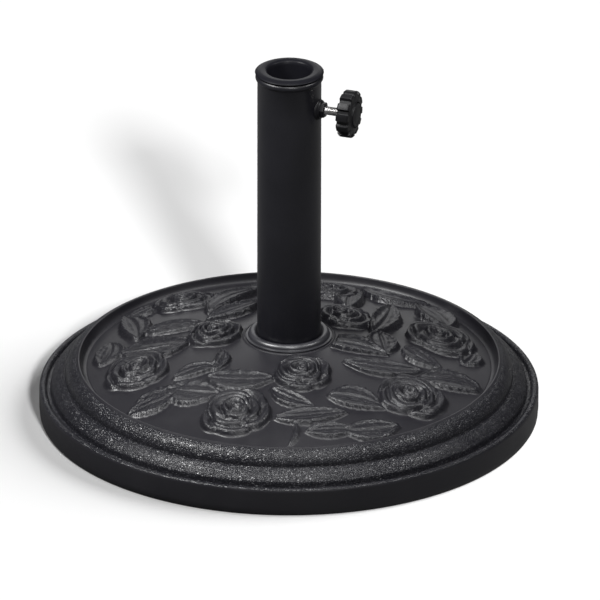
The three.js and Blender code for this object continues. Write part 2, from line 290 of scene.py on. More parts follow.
def new_material(name):
    made = bpy.data.materials.new(name)
    made.use_nodes = True
    tree = made.node_tree
    tree.nodes.clear()
    shader = tree.nodes.new("ShaderNodeBsdfPrincipled")
    output = tree.nodes.new("ShaderNodeOutputMaterial")
    tree.links.new(shader.outputs["BSDF"], output.inputs["Surface"])
    return made, tree, shader


def placed_group(tree, group, **values):
    made = add_node(tree, "ShaderNodeGroup", node_tree=group)
    for label, value in values.items():
        feed(tree, made.inputs[label.replace("_", " ")], value)
    return made


def bump(tree, height, distance):
    made = add_node(tree, "ShaderNodeBump")
    made.inputs["Distance"].default_value = distance
    tree.links.new(height, made.inputs["Height"])
    return made.outputs["Normal"]


# Two tones each: the shell between its grained places, the grain from painted crease shade to painted pebble
# glint, and cement
GROUND_TONES = (0.01, 0.0096, 0.0125, 1), (0.0125, 0.012, 0.015, 1)
CREASE_SHADE_AND_GLINT_TONES = (0.01, 0.01, 0.0125, 1), (0.036, 0.0355, 0.042, 1)
CEMENT_TONES = (0.36, 0.35, 0.33, 1), (0.5, 0.48, 0.45, 1)
CEMENT_PORES = (0.3, 0.29, 0.27, 1)

# Where the grained bands start and end, in metres from the axis
BANDS_IN = (0.1925, 0.195)
BANDS_OUT = (0.2265, 0.2273)


def distance_from_axis(tree):
    place = add_node(tree, "ShaderNodeTexCoord").outputs["Object"]
    xyz = add_node(tree, "ShaderNodeSeparateXYZ")
    tree.links.new(place, xyz.inputs[0])
    flat = add_node(tree, "ShaderNodeCombineXYZ")
    for axis in "XY":
        tree.links.new(xyz.outputs[axis], flat.inputs[axis])
    reach = add_node(tree, "ShaderNodeVectorMath", operation="LENGTH")
    tree.links.new(flat.outputs[0], reach.inputs[0])
    return reach.outputs["Value"]


def shell_plastic():
    """Black moulded plastic: leather grain on the bands and on the relief, smooth between."""
    made, tree, shader = new_material("shell_plastic")
    radius = distance_from_axis(tree)
    inner = ramp_between(tree, radius, *BANDS_IN)
    outer = ramp_between(tree, radius, *BANDS_OUT, 1.0, 0.0)
    bands = math_node(tree, "MULTIPLY", inner, outer)
    raised = add_node(tree, "ShaderNodeAttribute", attribute_name="raised")
    forms = math_node(tree, "MULTIPLY", raised.outputs["Fac"], 0.5)
    where = math_node(tree, "MAXIMUM", bands, forms)
    grain = placed_group(tree, GRAIN, Cell_Size=0.0018, Unevenness=0.7)
    skin = placed_group(tree, SKIN, Grain_Size=0.0007)
    smooth = math_node(tree, "MULTIPLY", skin.outputs["Height"], 0.16)
    height = mix(tree, "FLOAT", where, smooth, grain.outputs["Height"])
    tree.links.new(bump(tree, height, 0.00022), shader.inputs["Normal"])
    ground = mix_colours(tree, skin.outputs["Smudges"], *GROUND_TONES)
    # Painted light in the grain's colour: glints on bright pebbles, shade in the creases
    grain_with_painted_glints = mix_colours(tree, grain.outputs["Painted Glints And Crease Shade"], *CREASE_SHADE_AND_GLINT_TONES)
    tree.links.new(mix_colours(tree, where, ground, grain_with_painted_glints), shader.inputs["Base Color"])
    rough = ramp_between(tree, skin.outputs["Smudges"], 0.0, 1.0, 0.38, 0.46)
    gloss = math_node(tree, "MULTIPLY", where, 0.12)
    tree.links.new(math_node(tree, "SUBTRACT", rough, gloss), shader.inputs["Roughness"])
    glints = ramp_between(tree, grain.outputs["Painted Glints And Crease Shade"], 0.0, 0.8, 0.27, 0.92)
    tree.links.new(mix(tree, "FLOAT", where, 0.45, glints), shader.inputs["Specular IOR Level"])
    return made


def plain_finish(name, colour, tint, rough, rough_change,
                 grain=0.0007, depth=0.00005, metal=0.0, specular=0.5):
    """A moulded or sprayed finish: two close colours in soft patches, a faint grain."""
    made, tree, shader = new_material(name)
    skin = placed_group(tree, SKIN, Grain_Size=grain)
    smudges = skin.outputs["Smudges"]
    roughness = ramp_between(tree, smudges, 0.0, 1.0, rough, rough + rough_change)
    tree.links.new(mix_colours(tree, smudges, (*colour, 1), (*tint, 1)), shader.inputs["Base Color"])
    tree.links.new(roughness, shader.inputs["Roughness"])
    tree.links.new(bump(tree, skin.outputs["Height"], depth), shader.inputs["Normal"])
    shader.inputs["Metallic"].default_value = metal
    shader.inputs["Specular IOR Level"].default_value = specular
    return made


def cement():
    """Cast cement with pores and pale patches."""
    made, tree, shader = new_material("cement")
    grain = placed_group(tree, GRAIN, Cell_Size=0.004, Unevenness=1.0)
    skin = placed_group(tree, SKIN, Grain_Size=0.0012)
    tone = mix_colours(tree, grain.outputs["Patches"], *CEMENT_TONES)
    porous = mix_colours(tree, skin.outputs["Height"], tone, CEMENT_PORES)
    roughness = ramp_between(tree, skin.outputs["Smudges"], 0.0, 1.0, 0.85, 0.95)
    tree.links.new(porous, shader.inputs["Base Color"])
    tree.links.new(roughness, shader.inputs["Roughness"])
    tree.links.new(bump(tree, skin.outputs["Height"], 0.0006), shader.inputs["Normal"])
    return made


SHELL_PLASTIC = shell_plastic()
CEMENT = cement()
TUBE_PAINT = plain_finish("tube_paint", (0.005, 0.005, 0.0075), (0.007, 0.007, 0.01), 0.34, 0.06,
                          grain=0.0011, depth=0.00004)
# Lighter than the other black plastics, standing for the collar's broad highlight: painted light
COLLAR_PLASTIC_PAINTED_LIGHT = plain_finish("collar_plastic_painted_light", (0.018, 0.018, 0.022), (0.022, 0.022, 0.027), 0.37, 0.06,
                            specular=0.9)
# A darker copy of the collar's plastic: painted shade that keeps the sleeve's top ring dark
SLEEVE_PLASTIC_PAINTED_SHADE = plain_finish("sleeve_plastic_painted_shade", (0.006, 0.006, 0.008), (0.008, 0.008, 0.0105), 0.34, 0.07,
                              specular=0.1)
# A darker copy of the tube's paint on the weld nut: painted shade
NUT_PAINT_PAINTED_SHADE = plain_finish("nut_paint_painted_shade", (0.004, 0.004, 0.0055), (0.006, 0.006, 0.0075), 0.4, 0.06,
                         specular=0.25)
KNOB_PLASTIC = plain_finish("knob_plastic", (0.003, 0.003, 0.0035), (0.005, 0.005, 0.006), 0.34, 0.1,
                            grain=0.0006, depth=0.0001, specular=0.28)
TRAY_PLASTIC = plain_finish("tray_plastic", (0.016, 0.016, 0.018), (0.022, 0.022, 0.024), 0.55, 0.1,
                            grain=0.0009, depth=0.0001)
NYLON = plain_finish("nylon", (0.02, 0.02, 0.021), (0.027, 0.027, 0.028), 0.5, 0.1)
RUBBER = plain_finish("foot_rubber", (0.015, 0.015, 0.015), (0.03, 0.03, 0.03), 0.8, 0.12,
                      grain=0.0008, depth=0.0001)
ZINC = plain_finish("zinc_plate", (0.62, 0.62, 0.64), (0.7, 0.69, 0.68), 0.24, 0.12,
                    grain=0.0005, depth=0.00003, metal=1.0)
DULL_ZINC = plain_finish("dull_zinc", (0.42, 0.42, 0.43), (0.52, 0.51, 0.49), 0.38, 0.15,
                         grain=0.0006, depth=0.00006, metal=1.0)


# --- geometry node trees -----------------------------------------------------

def geometry_group(name, *values):
    """A tree that takes a shape, some values and a material, and gives back a shape."""
    shape = ("Geometry", "NodeSocketGeometry")
    inputs = [(*shape, None), *values, ("Material", "NodeSocketMaterial", None)]
    return new_group(name, "GeometryNodeTree", inputs, [shape])


def finish_tree(tree, source, sink, geometry):
    """Ends a tree with plain geometry in the material it was handed."""
    realized = add_node(tree, "GeometryNodeRealizeInstances")
    painted = add_node(tree, "GeometryNodeSetMaterial")
    tree.links.new(geometry, realized.inputs[0])
    tree.links.new(realized.outputs[0], painted.inputs["Geometry"])
    tree.links.new(source.outputs["Material"], painted.inputs["Material"])
    tree.links.new(painted.outputs["Geometry"], sink.inputs["Geometry"])


def turning_tree():
    """Turns an outline, given as points at (radius, 0, height), about +Z."""
    tree, source, sink = geometry_group(
        "turn_outline", ("Steps", "NodeSocketInt", 96), ("Points", "NodeSocketInt", 10))
    columns = math_node(tree, "ADD", source.outputs["Steps"], 1.0)
    grid = add_node(tree, "GeometryNodeMeshGrid")
    tree.links.new(source.outputs["Points"], grid.inputs["Vertices X"])
    tree.links.new(columns, grid.inputs["Vertices Y"])
    index = add_node(tree, "GeometryNodeInputIndex").outputs[0]
    past = math_node(tree, "DIVIDE", math_node(tree, "ADD", index, 0.5), columns)
    row = math_node(tree, "FLOOR", past)
    column = math_node(tree, "SUBTRACT", index, math_node(tree, "MULTIPLY", row, columns))
    share = math_node(tree, "DIVIDE", column, source.outputs["Steps"])
    wrapped = math_node(tree, "FRACT", math_node(tree, "ADD", share, 1e-6))
    angle = math_node(tree, "MULTIPLY", wrapped, math.tau)
    position = add_node(tree, "GeometryNodeInputPosition").outputs[0]
    sample = add_node(tree, "GeometryNodeSampleIndex", data_type="FLOAT_VECTOR")
    tree.links.new(source.outputs["Geometry"], sample.inputs["Geometry"])
    tree.links.new(position, sample.inputs["Value"])
    tree.links.new(row, sample.inputs["Index"])
    turn = add_node(tree, "ShaderNodeVectorRotate", rotation_type="Z_AXIS")
    tree.links.new(sample.outputs[0], turn.inputs["Vector"])
    tree.links.new(angle, turn.inputs["Angle"])
    placed = add_node(tree, "GeometryNodeSetPosition")
    tree.links.new(grid.outputs["Mesh"], placed.inputs["Geometry"])
    tree.links.new(turn.outputs[0], placed.inputs["Position"])
    merged = add_node(tree, "GeometryNodeMergeByDistance")
    merged.inputs["Distance"].default_value = 2e-6
    tree.links.new(placed.outputs[0], merged.inputs["Geometry"])
    finish_tree(tree, source, sink, merged.outputs[0])
    return tree


def ring_tree():
    """Sets copies of a piece on a circle, each turned to face outwards."""
    tree, source, sink = geometry_group(
        "set_in_a_ring", ("Count", "NodeSocketInt", 6), ("Radius", "NodeSocketFloat", 0.2),
        ("First Angle", "NodeSocketFloat", 0.0))
    points = add_node(tree, "GeometryNodePoints")
    tree.links.new(source.outputs["Count"], points.inputs["Count"])
    index = add_node(tree, "GeometryNodeInputIndex").outputs[0]
    step = math_node(tree, "DIVIDE", math.tau, source.outputs["Count"])
    turned_by = math_node(tree, "MULTIPLY", index, step)
    angle = math_node(tree, "ADD", turned_by, source.outputs["First Angle"])
    spot = add_node(tree, "ShaderNodeCombineXYZ")
    for axis, wave in (("X", "COSINE"), ("Y", "SINE")):
        along = math_node(tree, wave, angle)
        tree.links.new(math_node(tree, "MULTIPLY", along, source.outputs["Radius"]), spot.inputs[axis])
    placed = add_node(tree, "GeometryNodeSetPosition")
    tree.links.new(points.outputs[0], placed.inputs["Geometry"])
    tree.links.new(spot.outputs[0], placed.inputs["Position"])
    facing = add_node(tree, "ShaderNodeCombineXYZ")
    tree.links.new(angle, facing.inputs["Z"])
    copies = add_node(tree, "GeometryNodeInstanceOnPoints")
    tree.links.new(placed.outputs[0], copies.inputs["Points"])
    tree.links.new(source.outputs["Geometry"], copies.inputs["Instance"])
    tree.links.new(facing.outputs[0], copies.inputs["Rotation"])
    finish_tree(tree, source, sink, copies.outputs[0])
    return tree


def polar_of(tree):
    """The angle about Z, the distance from Z, the height and the position of each point."""
    position = add_node(tree, "GeometryNodeInputPosition").outputs[0]
    parts = add_node(tree, "ShaderNodeSeparateXYZ")
    tree.links.new(position, parts.inputs[0])
    x, y, z = parts.outputs
    angle = math_node(tree, "ARCTAN2", y, x)
    x_squared = math_node(tree, "MULTIPLY", x, x)
    y_squared = math_node(tree, "MULTIPLY", y, y)
    squares = math_node(tree, "ADD", x_squared, y_squared)
    return angle, math_node(tree, "SQRT", squares), z, position


def draw_in(tree, source, sink, geometry, position, shrink):
    """Scales each point towards the Z axis by shrink."""
    factor = math_node(tree, "SUBTRACT", 1.0, shrink)
    scale = add_node(tree, "ShaderNodeCombineXYZ")
    tree.links.new(factor, scale.inputs["X"])
    tree.links.new(factor, scale.inputs["Y"])
    scale.inputs["Z"].default_value = 1.0
    product = add_node(tree, "ShaderNodeVectorMath", operation="MULTIPLY")
    tree.links.new(position, product.inputs[0])
    tree.links.new(scale.outputs[0], product.inputs[1])
    placed = add_node(tree, "GeometryNodeSetPosition")
    tree.links.new(geometry, placed.inputs["Geometry"])
    tree.links.new(product.outputs[0], placed.inputs["Position"])
    finish_tree(tree, source, sink, placed.outputs[0])


def grip_tree():
    """Presses hollows into a turned knob's rim, leaving broad lobes."""
    tree, source, sink = geometry_group(
        "press_grip", ("Lobes", "NodeSocketInt", 12), ("Depth", "NodeSocketFloat", 0.1),
        ("Core Radius", "NodeSocketFloat", 0.016), ("Rim Radius", "NodeSocketFloat", 0.0215))
    angle, radius, _, position = polar_of(tree)
    wave = math_node(tree, "COSINE", math_node(tree, "MULTIPLY", angle, source.outputs["Lobes"]))
    hollow = ramp_between(tree, wave, 0.0, -0.4)
    at_rim = ramp_between(tree, radius, source.outputs["Core Radius"], source.outputs["Rim Radius"])
    pressed = math_node(tree, "MULTIPLY", hollow, at_rim)
    shrink = math_node(tree, "MULTIPLY", pressed, source.outputs["Depth"])
    draw_in(tree, source, sink, source.outputs["Geometry"], position, shrink)
    return tree


def thread_tree():
    """Cuts a right-hand thread into a turned shank between two heights."""
    tree, source, sink = geometry_group(
        "cut_thread", ("Pitch", "NodeSocketFloat", 0.00125), ("Depth", "NodeSocketFloat", 0.17),
        ("From", "NodeSocketFloat", 0.0), ("To", "NodeSocketFloat", 0.02))
    angle, _, height, position = polar_of(tree)
    turns = math_node(tree, "DIVIDE", angle, math.tau)
    rise = math_node(tree, "DIVIDE", height, source.outputs["Pitch"])
    phase = math_node(tree, "FRACT", math_node(tree, "SUBTRACT", rise, turns))
    swing = math_node(tree, "SUBTRACT", math_node(tree, "MULTIPLY", phase, 2.0), 1.0)
    groove = math_node(tree, "ABSOLUTE", swing)
    past_start = math_node(tree, "GREATER_THAN", height, source.outputs["From"])
    before_end = math_node(tree, "LESS_THAN", height, source.outputs["To"])
    within = math_node(tree, "MULTIPLY", past_start, before_end)
    grooved = math_node(tree, "MULTIPLY", groove, within)
    cut = math_node(tree, "MULTIPLY", grooved, source.outputs["Depth"])
    draw_in(tree, source, sink, source.outputs["Geometry"], position, cut)
    return tree


TURN = turning_tree()
RING = ring_tree()
GRIP = grip_tree()
THREAD = thread_tree()


def bake(obj):
    """Leaves what an object's modifiers make of it as its plain mesh."""
    bpy.context.view_layer.update()
    evaluated = obj.evaluated_get(bpy.context.evaluated_depsgraph_get())
    result = bpy.data.meshes.new_from_object(evaluated)
    obj.modifiers.clear()
    obj.data = result
    return obj


def run_tree(obj, tree, values):
    """Runs a tree on an object and keeps its result."""
    modifier = obj.modifiers.new(tree.name, "NODES")
    modifier.node_group = tree
    for item in tree.interface.items_tree:
        if item.item_type == "SOCKET" and item.in_out == "INPUT" and item.name in values:
            modifier[item.identifier] = values[item.name]
    return bake(obj)


def in_a_ring(obj, count, radius, first, material):
    """Copies of a piece about the Z axis: the radius in millimetres, the first angle in degrees."""
    values = {"Count": count, "Radius": radius * MM, "First Angle": math.radians(first), "Material": material}
    return run_tree(obj, RING, values)


# --- mesh helpers ------------------------------------------------------------

def placed_in_scene(name, data):
    obj = bpy.data.objects.new(name, data)
    bpy.context.scene.collection.objects.link(obj)
    return obj


def new_object(name, vertices, faces):
    mesh = bpy.data.meshes.new(name)
    mesh.from_pydata(vertices, [], faces)
    return placed_in_scene(name, mesh)


def tidy(obj, sharp=35.0):
    """Merges doubles, turns faces outwards, smooths, and keeps edges over the sharp angle crisp."""
    work = bmesh.new()
    work.from_mesh(obj.data)
    bmesh.ops.remove_doubles(work, verts=work.verts, dist=1e-6)
    bmesh.ops.dissolve_degenerate(work, edges=work.edges, dist=1e-7)
    bmesh.ops.recalc_face_normals(work, faces=work.faces)
    for face in work.faces:
        face.smooth = True
    limit = math.radians(sharp)
    for edge in work.edges:
        edge.smooth = len(edge.link_faces) == 2 and edge.calc_face_angle(0.0) < limit
    work.to_mesh(obj.data)
    work.free()
    return obj


def turned(name, outline, material, steps=96, sharp=35.0):
    """A solid of revolution from an outline in millimetres, closed unless it starts on the axis."""
    points = [(r * MM, 0.0, z * MM) for r, z in outline]
    if outline[0][0] > 0:
        points.append(points[0])
    obj = new_object(name, points, [])
    run_tree(obj, TURN, {"Steps": steps, "Points": len(points), "Material": material})
    return tidy(obj, sharp)


def arc(cx, cz, r, start, end, steps):
    """Points round a centre, from one angle to another in degrees."""
    angles = [math.radians(start + (end - start) * i / steps) for i in range(steps + 1)]
    return [(cx + r * math.cos(a), cz + r * math.sin(a)) for a in angles]


def curve_through(points, per_span=5):
    """A smooth curve through points in the radius-height plane."""
    p = [Vector((*a, 0)) for a in points]
    p = [2 * p[0] - p[1], *p, 2 * p[-1] - p[-2]]
    out = []
    for i in range(1, len(p) - 2):
        for k in range(per_span):
            t = k / per_span
            a, b, c, d = p[i - 1:i + 3]
            bend = (2 * a - 5 * b + 4 * c - d) * t * t + (3 * b - a - 3 * c + d) * t ** 3
            v = 0.5 * (2 * b + (c - a) * t + bend)
            out.append((v.x, v.y))
    out.append(points[-1])
    return out


def joined(name, objects):
    """Joins finished pieces into the first and names it."""
    work = bmesh.new()
    for obj in objects:
        work.from_mesh(obj.data)
    target = objects[0]
    work.to_mesh(target.data)
    work.free()
    for obj in objects[1:]:
        bpy.data.objects.remove(obj)
    target.name = name
    return target


def prism(name, corners, low, high, bevel=0.0):
    """A flat-ended prism on a convex outline, in millimetres, with its edges rounded by bevel."""
    work = bmesh.new()
    base = [work.verts.new((x * MM, y * MM, low * MM)) for x, y in corners]
    face = work.faces.new(base)
    lifted = bmesh.ops.extrude_face_region(work, geom=[face])
    top = [item for item in lifted["geom"] if isinstance(item, bmesh.types.BMVert)]
    bmesh.ops.translate(work, verts=top, vec=(0, 0, (high - low) * MM))
    if bevel:
        bmesh.ops.bevel(work, geom=work.edges[:], offset=bevel * MM, segments=3, profile=0.5,
                        affect="EDGES")
    mesh = bpy.data.meshes.new(name)
    work.to_mesh(mesh)
    work.free()
    return tidy(placed_in_scene(name, mesh))


def bar(name, start, end, half, low, high, bevel=0.0):
    """A prism that runs out along X from start to end, half as thick to each side of it."""
    return prism(name, [(start, -half), (end, -half), (end, half), (start, half)], low, high, bevel)


def hexagon(across_flats):
    return arc(0, 0, across_flats / math.sqrt(3), 0, 300, 5)


def along_clamp(obj):
    """Lays a piece made about +Z along the clamp's axis."""
    turn = Vector((0, 0, 1)).rotation_difference(CLAMP_OUT).to_matrix().to_4x4()
    obj.data.transform(Matrix.Translation((0, 0, CLAMP_Z * MM)) @ turn)
    return obj


def drilled(obj):
    """Bores the clamp's hole through a piece that stands in its place."""
    outline = [(0, DRILL_FROM), (SCREW_HOLE, DRILL_FROM), (SCREW_HOLE, DRILL_TO), (0, DRILL_TO)]
    drill = along_clamp(turned("drill", outline, TUBE_PAINT, 40))
    modifier = obj.modifiers.new("bore", "BOOLEAN")
    modifier.operation = "DIFFERENCE"
    modifier.solver = "EXACT"
    modifier.use_self = True
    modifier.object = drill
    bake(obj)
    bpy.data.objects.remove(drill)
    return tidy(obj)


def paint(obj, material):
    obj.data.materials.clear()
    obj.data.materials.append(material)
    return obj


def fit(obj, body, slot, *nodes):
    """Hangs a finished piece on its body and hides the frame's parts it stands in for."""
    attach(obj, body)
    if nodes:
        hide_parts(*nodes)


# --- base shell --------------------------------------------------------------

def panel_height(r):
    """Height of the domed panel under its relief, in millimetres."""
    t = (r - HUB_R) / (PANEL_R - HUB_R)
    return DOME_Z - (DOME_Z - PANEL_Z) * (0.55 * t + 0.45 * t * t)


def rim_outline():
    """The skirt, bead, bands and ridge, then back along the inside of the wall."""
    skirt = [(BASE_R - 1.2, SKIRT_Z), (BASE_R - 0.5, SKIRT_Z + 1), (BASE_R, 8), (BASE_R, 16),
             (BASE_R, 23.5)]
    bead = arc(BASE_R - RIM_ROUND, 24.1, RIM_ROUND, 4, 176, 12)
    groove = [(220.5, 23.6), (219.6, 23.3), (217.8, 23.3), (217.1, 23.7), (216.8, 24.5), (216.8, 27.6)]
    low_band = curve_through([(216.6, 28.5), (215.9, 30.1), (211.6, 34.8), (206.6, 38.1)], 4)
    step = [(205.8, 38.3), (205.1, 37.7), (204.5, 37.7), (204.0, 38.3)]
    high_band = curve_through([(203.8, 39.1), (203.4, 42.2), (201.4, 46.2), (198.2, 49.6), (196.2, 50.9)], 4)
    ridge = [(194.2, 51.8), (RIDGE_R, 52.8), (191.7, 53.1), (191.0, 53.0), (190.6, 52.4)]
    cove = curve_through([(190.4, 51.0), (189.4, 48.0), (187.8, 45.8), (185.4, 44.6), (183.0, 43.9)], 4)
    inside = [(182, panel_height(182) - WALL), (192, 41.4), (198, 41), (211, 30.2), (214.4, 22.4),
              (BASE_R - WALL - 1, 20), (BASE_R - WALL - 0.8, SKIRT_Z)]
    return skirt + bead + groove + low_band + step + high_band + ridge + cove + inside


def smooth_step(low, high, value):
    t = np.clip((value - low) / (high - low), 0.0, 1.0)
    return t * t * (3 - 2 * t)


def lay_leaf(h, x, y, leaf, number):
    """Lays one leaf over the relief: raised edges, a sunk midrib and slanting veins."""
    lx, ly, length, width, heading, bend, high = leaf
    a = math.radians(heading)
    along = (x - lx) * math.cos(a) + (y - ly) * math.sin(a)
    across = -(x - lx) * math.sin(a) + (y - ly) * math.cos(a)
    u = along / length + 0.5
    across = across - bend * length * (4 * (u - 0.5) ** 2 - 0.5)
    inside = (u > 0.0) & (u < 1.0)
    v = np.clip(u, 0.0, 1.0)
    teeth = 1 + 0.09 * (np.mod(v * LEAF_TEETH + 0.3, 1.0) - 0.5)
    half = 0.5 * width * np.sin(np.pi * v ** 0.85) ** 0.8 * teeth
    depth = half - np.abs(across)
    q = np.clip(np.abs(across) / np.maximum(half, 0.1), 0.0, 1.0)
    fold = 0.16 * high * np.where(across > 0, 1.0, -0.5) * q
    arch = 0.72 + 0.28 * np.sin(np.pi * np.clip(v * 0.8 + 0.1, 0, 1))
    body = high * (0.7 + 0.3 * q ** 1.5) * arch + fold
    rib = 1.2 * np.exp(-(across / 1.2) ** 2) * (width > 10)
    veins = 0.16 * np.sin(2 * np.pi * (v * LEAF_VEINS - q * 1.3 + 0.1 * number)) * smooth_step(0.08, 0.35, q)
    streaks = 0.5 * np.sin(3.3 * np.pi * q + 0.8 * np.sin(v * 4 + number)) * np.sin(np.pi * v)
    lip = 0.9 * np.exp(-((depth - 2.2) / 1.3) ** 2)
    edge = smooth_step(0.0, 2.6, depth)
    top = body - rib + lip + (veins + streaks) * smooth_step(1.5, 3.5, depth)
    laid = h * (1 - edge) + np.maximum(top, h * 0.5 + 1.0) * edge
    return np.where(inside & (depth > 0), laid, h)


def lay_petal(h, x, y, cx, cy, radius, high, dip, ripple):
    """Lays one cupped petal over the relief: a rolled lip round a sunk middle, a crease outside it."""
    away = np.hypot(x - cx, y - cy)
    angle = np.arctan2(y - cy, x - cx)
    reach = radius * (1 + 0.035 * np.sin(3 * angle + ripple) + 0.012 * np.sin(7 * angle + 2 * ripple))
    depth = reach - away
    crease = smooth_step(-2.4, -0.2, depth) * (depth < 0.4)
    h = h - crease * np.clip(h - 0.8, 0.0, 1.8)
    edge = smooth_step(-0.2, 2.4, depth)
    roll = 1.2 + 0.1 * radius
    lip = 1.3 * np.exp(-((depth - roll) / roll) ** 2)
    top = high - dip * smooth_step(1.4 * roll, 0.85 * radius, depth) + lip
    return np.where(depth > -0.2, h * (1 - edge) + top * edge, h)


def lay_rose(h, x, y, rose, number):
    """Builds one bloom from its outer petals to the rolled bud."""
    rx, ry, radius, heading = rose
    near = np.hypot(x - rx, y - ry) < radius * 1.3
    hx, hy, part = x[near], y[near], h[near]
    for w, (count, out, size, high, dip) in enumerate(WHORLS):
        for k in range(count):
            a = math.radians(heading + 360 * k / count + 47 * w) + 0.18 * math.sin(number * 3 + k * 2 + w)
            cx = rx + out * radius * math.cos(a)
            cy = ry + out * radius * math.sin(a)
            swell = size * radius * (1 + 0.06 * math.sin(number + k * 1.7))
            lift = high + 0.3 * math.sin(k * 2.4 + number)
            part = lay_petal(part, hx, hy, cx, cy, swell, lift, dip, number + k)
    away = np.hypot(hx - rx, hy - ry) / radius
    turn = np.arctan2(hy - ry, hx - rx)
    spiral = 0.9 * (0.5 + 0.5 * np.cos(turn - 26 * away + math.radians(heading))) ** 3
    part = part - spiral * smooth_step(0.24, 0.16, away)
    h = h.copy()
    h[near] = part
    return h


def relief_height(x, y):
    """Height of the relief over the panel, in millimetres."""
    h = np.zeros_like(x)
    for number, leaf in enumerate(LEAVES):
        h = lay_leaf(h, x, y, leaf, number)
    for number, rose in enumerate(ROSES):
        h = lay_rose(h, x, y, rose, number)
    radius = np.hypot(x, y)
    return h * smooth_step(184.6, 179.0, radius) * smooth_step(HUB_R + 2.0, HUB_R + 5.0, radius)


def rose_panel():
    """The domed panel with its relief, closed underneath."""
    steps, rows = PANEL_MESH
    lip = HUB_R + np.array([-1.2, -0.9, -0.6, -0.3, 0.5, 1.0, 1.5])
    radii = np.concatenate([[PANEL_HOLE, 34.0], lip, np.linspace(HUB_R + 2.4, PANEL_EDGE, rows)])
    turn = np.linspace(0, 2 * np.pi, steps, endpoint=False)
    r, a = np.meshgrid(radii, turn, indexing="ij")
    x, y = r * np.cos(a), r * np.sin(a)
    ground = np.where(r < HUB_R, DOME_Z + 0.2, panel_height(r))
    hub_lip = smooth_step(HUB_R - 0.9, HUB_R - 0.3, r) * smooth_step(HUB_R + 1.5, HUB_R + 0.5, r)
    ground = ground + 0.6 * hub_lip
    raised = relief_height(x, y)
    top = ground + raised
    top[-1] -= 1.0
    low_radii = np.array([PANEL_EDGE - 0.4, 140.0, 90.0, HUB_R, PANEL_HOLE])
    lr, la = np.meshgrid(low_radii, turn, indexing="ij")
    low = panel_height(np.maximum(lr, HUB_R)) - WALL + 0.2
    xs = np.concatenate([x, lr * np.cos(la)])
    ys = np.concatenate([y, lr * np.sin(la)])
    zs = np.concatenate([top, low])
    points = np.stack([xs, ys, zs], -1).reshape(-1, 3) * MM
    total = len(radii) + len(low_radii)
    i, j = np.meshgrid(np.arange(total), np.arange(steps), indexing="ij")
    after, beside = (i + 1) % total, (j + 1) % steps
    corners = [i * steps + j, after * steps + j, after * steps + beside, i * steps + beside]
    faces = np.stack(corners, -1).reshape(-1, 4)
    obj = new_object("rose_panel", points.tolist(), faces.tolist())
    mask = np.concatenate([smooth_step(0.4, 1.6, raised), np.zeros_like(lr)]).reshape(-1)
    attribute = obj.data.attributes.new("raised", "FLOAT", "POINT")
    attribute.data.foreach_set("value", mask.astype(np.float32))
    obj.data.polygons.foreach_set("use_smooth", [True] * len(faces))
    return paint(obj, SHELL_PLASTIC)


def shell_rim():
    return turned("shell_rim", rim_outline(), SHELL_PLASTIC, steps=288, sharp=50.0)


def base_shell():
    fit(shell_rim(), "base", "base_shell", "base_shell")
    fit(rose_panel(), "base", "base_shell")


# --- underside ---------------------------------------------------------------

def bottom_tray():
    flange = 4.0
    thick = 3.0
    ceiling = 27.0
    hole = 34.0
    wall = 170.0
    edge = BASE_R - WALL - 1.6
    outline = [(hole, ceiling), (wall - 3, ceiling), (wall + 13, flange), (edge - 1, flange),
               (edge, flange + 1), (edge, flange + thick), (wall + 15.4, flange + thick),
               (wall - 1, ceiling + thick), (hole, ceiling + thick)]
    tray = turned("bottom_tray", outline, TRAY_PLASTIC, steps=144)
    rib = bar("rib", hole + 1, wall - 2, 1.5, ceiling - 7, ceiling + 0.5, 0.4)
    ribs = in_a_ring(rib, 12, 0.0, 15, TRAY_PLASTIC)
    tray = paint(joined("bottom_tray", [tray, ribs]), TRAY_PLASTIC)
    fit(tray, "base", "bottom_cover", "bottom_cover")


def rubber_feet():
    outline = [(0, 0.8), (5.6, 0.8), (6.4, 0.5), (7, 0.1), (7.6, 0), (9.6, 0), (10.4, 0.3), (11, 1),
               (11.6, FOOT_TOP), (0, FOOT_TOP)]
    one = turned("foot", outline, RUBBER, steps=32)
    feet = tidy(in_a_ring(one, 6, BOSS_R - 4, 30, RUBBER))
    feet.name = "rubber_feet"
    fit(feet, "base", "feet", *(f"foot_{i}" for i in range(1, 7)))


def cover_screws():
    dome = [(0, 3.2), (1.2, 2.6), (2.6, 2.4), (3.6, 2.9), (4.2, 3.8), (4.2, 5.1), (0, 5.1)]
    head = turned("head", dome, DULL_ZINC, steps=24)
    shank = turned("shank", [(0, 5.0), (1.6, 5.0), (1.6, 20), (0, 22.4)], DULL_ZINC, steps=16)
    screws = tidy(in_a_ring(joined("screw", [head, shank]), 6, BOSS_R, 0.0, DULL_ZINC))
    screws.name = "cover_screws"
    fit(screws, "base", "cover_screws", *(f"cover_screw_{i}" for i in range(1, 7)))


def inner_pieces():
    """CAD pieces whose shape is already right get their finish."""
    for name, material in (("concrete_core", CEMENT), ("anchor_plate", DULL_ZINC), ("bolt_washer", ZINC),
                           ("spring_washer", ZINC), ("centre_bolt", ZINC), ("tube_end_plate", DULL_ZINC)):
        paint(frame["nodes"][name], material)


# --- tube, collar and sleeve -------------------------------------------------

def stand_tube():
    bead_z = TUBE_TOP - BEAD_DROP
    side = [(TUBE_R, z) for z in (TUBE_FOOT, 80, 150, 230, 300, bead_z - 3.6)]
    outline = [(TUBE_BORE, TUBE_FOOT), *side, (TUBE_R + 0.3, bead_z - 3.1),
               *arc(BEAD_R - BEAD_ROUND, bead_z, BEAD_ROUND, -55, 75, 12), (TUBE_R - 0.6, TUBE_TOP - 0.2),
               (TUBE_R - 1.2, TUBE_TOP), (TUBE_BORE + 0.2, TUBE_TOP), (TUBE_BORE, TUBE_TOP - 0.3)]
    tube = drilled(turned("stand_tube_visual", outline, TUBE_PAINT, steps=160))
    fit(paint(tube, TUBE_PAINT), "base", "stand_tube", "stand_tube")


